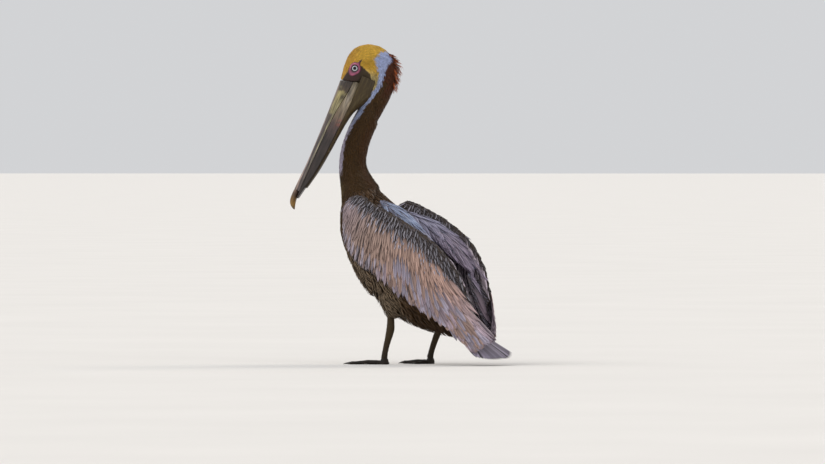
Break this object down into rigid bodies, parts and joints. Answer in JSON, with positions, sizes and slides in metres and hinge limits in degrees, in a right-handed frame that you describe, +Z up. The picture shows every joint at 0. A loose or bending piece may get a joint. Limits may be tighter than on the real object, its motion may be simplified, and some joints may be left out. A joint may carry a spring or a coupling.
{
  "type": "life-size brown pelican model",
  "caption": "Brown pelican standing on both feet, wings folded, head turned to its left and long bill held down in front of an S-shaped neck.",
  "frame": {"origin": "on the ground, under the middle of the bird's bounding box seen from above", "axes": "+Z up, the bird faces -Y, its left side is +X"},
  "size_m": [0.2504, 0.5683, 0.7679],
  "materials": {
    "head_feathers": "short dense feathers, yellow crown, chestnut and white neck stripe",
    "neck_feathers": "velvety dark chestnut feathers",
    "body_feathers": "dark brown feathers with fine pale streaks",
    "wing_feathers": "silver grey coverts with pale edges",
    "flight_feathers": "slate grey vanes with dark edges",
    "bill_horn": "satin horn, grey with olive and pinkish areas",
    "nail_horn": "satin horn, amber and black",
    "pouch_skin": "thin dark olive skin",
    "leg_skin": "scaly dark skin",
    "claw_horn": "dark horn",
    "eye": "glossy, pale iris with a black pupil"
  },
  "bodies": {
    "root": {"bill_lower": "bill_horn", "bill_nail": "nail_horn", "bill_upper": "bill_horn", "claw_left_hind": "claw_horn", "claw_left_inner": "claw_horn", "claw_left_middle": "claw_horn", "claw_left_outer": "claw_horn", "claw_right_hind": "claw_horn", "claw_right_inner": "claw_horn", "claw_right_middle": "claw_horn", "claw_right_outer": "claw_horn", "eye_left": "eye", "eye_right": "eye", "foot_left": "leg_skin", "foot_right": "leg_skin", "head": "head_feathers", "leg_left": "leg_skin", "leg_right": "leg_skin", "neck_lower": "neck_feathers", "neck_middle": "neck_feathers", "neck_upper": "neck_feathers", "pouch": "pouch_skin", "scapulars_left": "wing_feathers", "scapulars_right": "wing_feathers", "tail": "flight_feathers", "tertials_left": "flight_feathers", "tertials_right": "flight_feathers", "thigh_left": "body_feathers", "thigh_right": "body_feathers", "trunk": "body_feathers", "wing_left_arm": "wing_feathers", "wing_left_hand": "flight_feathers", "wing_right_arm": "wing_feathers", "wing_right_hand": "flight_feathers"}
  },
  "joints": []
}
